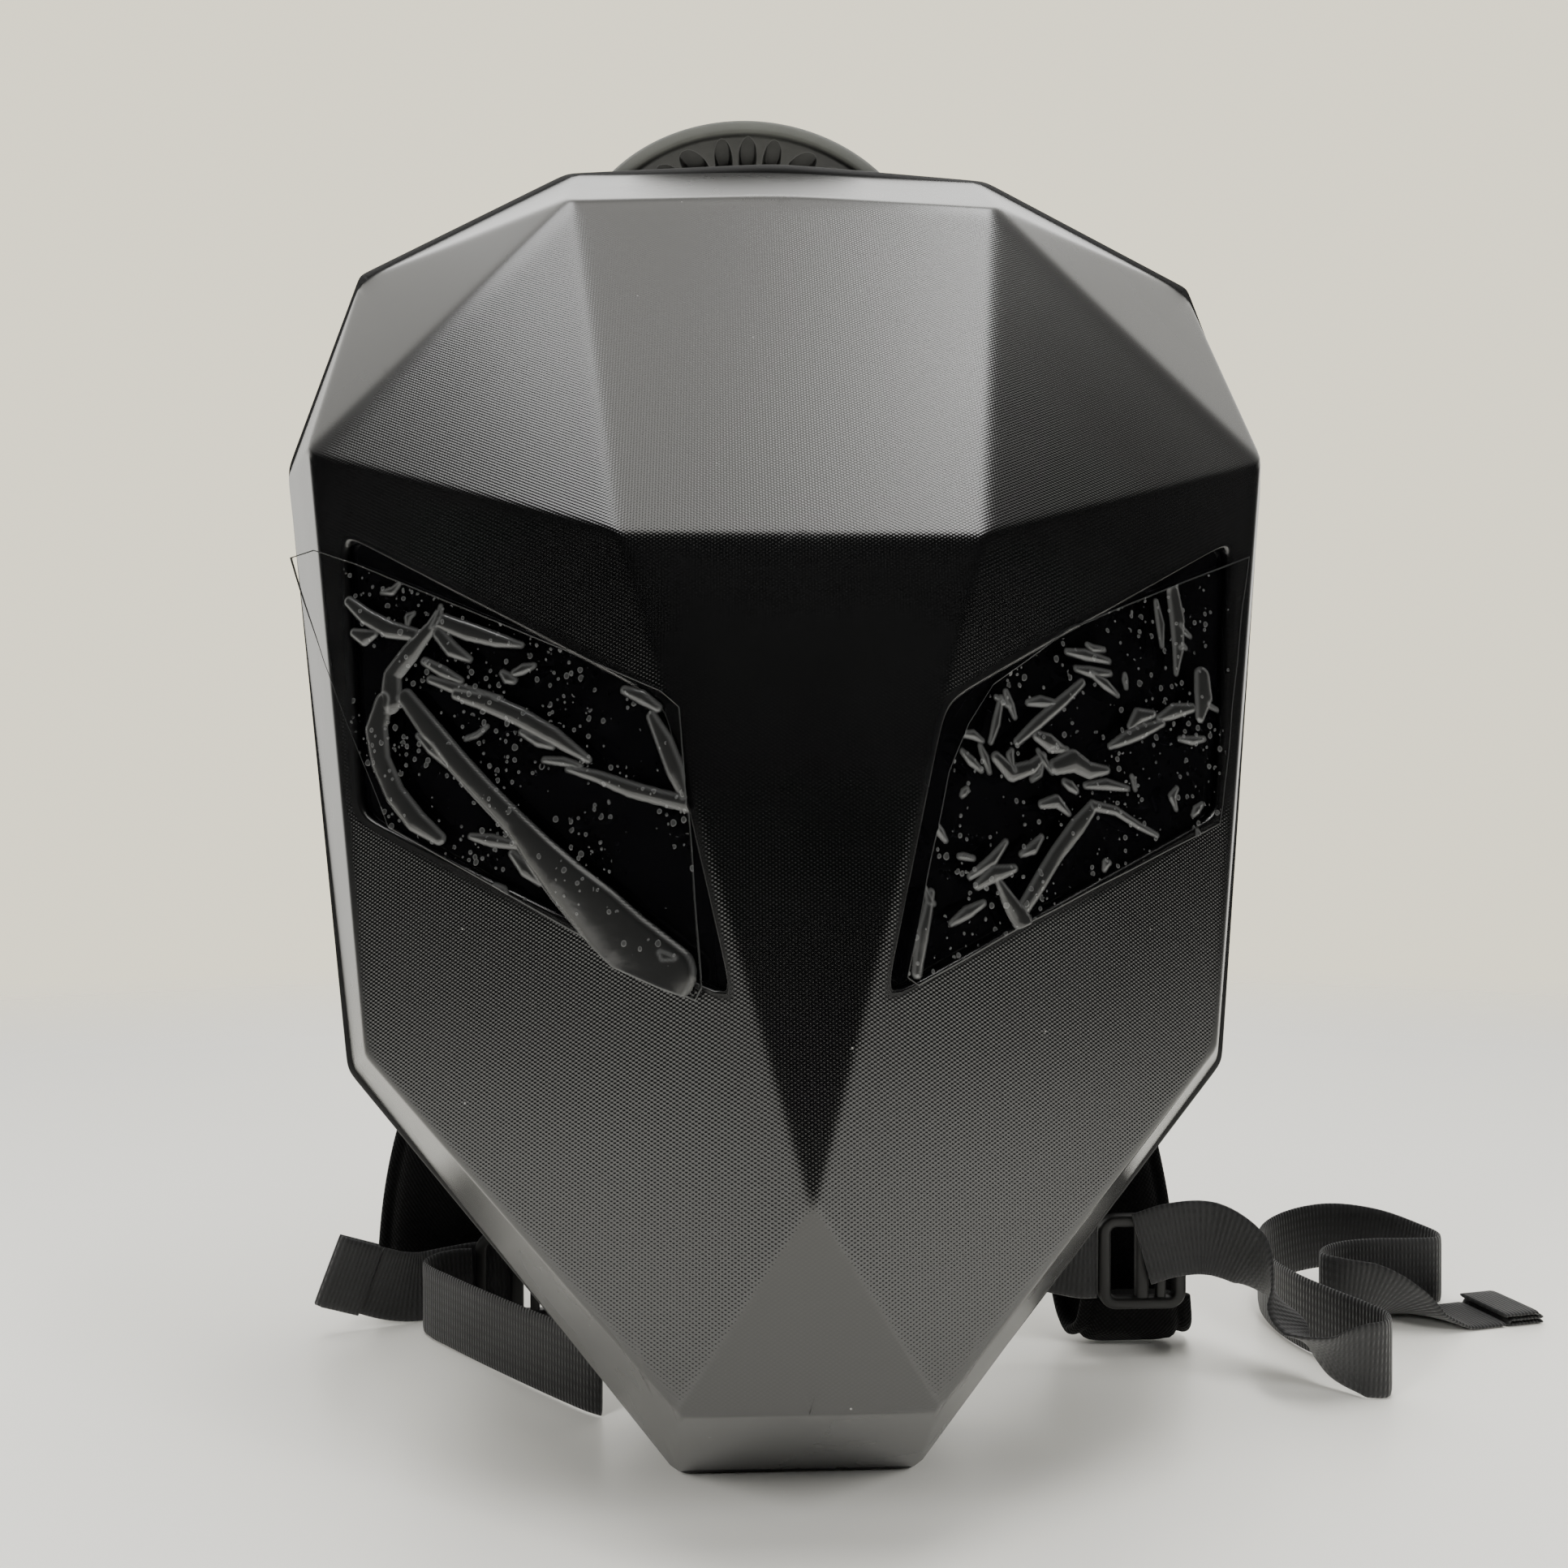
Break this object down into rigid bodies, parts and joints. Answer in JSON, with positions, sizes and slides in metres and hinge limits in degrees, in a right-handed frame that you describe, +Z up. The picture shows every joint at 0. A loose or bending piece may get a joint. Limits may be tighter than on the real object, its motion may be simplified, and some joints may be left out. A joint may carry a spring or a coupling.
{
  "type": "motorcycle backpack",
  "caption": "Hard-fronted motorcycle backpack with a faceted shell, two dark light windows under loose films, an arched top handle, padded shoulder straps and free webbing tails.",
  "frame": {"origin": "floor level under the middle of the bag's box, without the long free webbing tail", "axes": "+Z up, +Y towards the wearer's back, +X to the right as the front is seen; the bag leans back 16.7 degrees"},
  "size_m": [0.4457, 0.2434, 0.4447],
  "materials": {
    "shell_plastic": "satin",
    "screen_gloss": "gloss",
    "clear_film": "gloss",
    "zip_tape": "matte",
    "case_cloth": "matte",
    "pad_mesh": "matte",
    "handle_plastic": "satin",
    "strap_pad": "matte",
    "buckle_plastic": "satin",
    "webbing": "matte"
  },
  "bodies": {
    "root": {"shell": "shell_plastic", "screen_left": "screen_gloss", "screen_right": "screen_gloss", "film_left": "clear_film", "film_right": "clear_film", "zip_band": "zip_tape", "back_case": "case_cloth", "back_pad": "pad_mesh", "top_handle": "handle_plastic", "shoulder_strap_left": "strap_pad", "shoulder_strap_right": "strap_pad", "ladder_lock_left": "buckle_plastic", "ladder_lock_right": "buckle_plastic", "anchor_web_left": "webbing", "anchor_web_right": "webbing", "webbing_left": "webbing", "webbing_right": "webbing", "strap_end_left": "webbing", "strap_end_right": "webbing"}
  },
  "joints": []
}
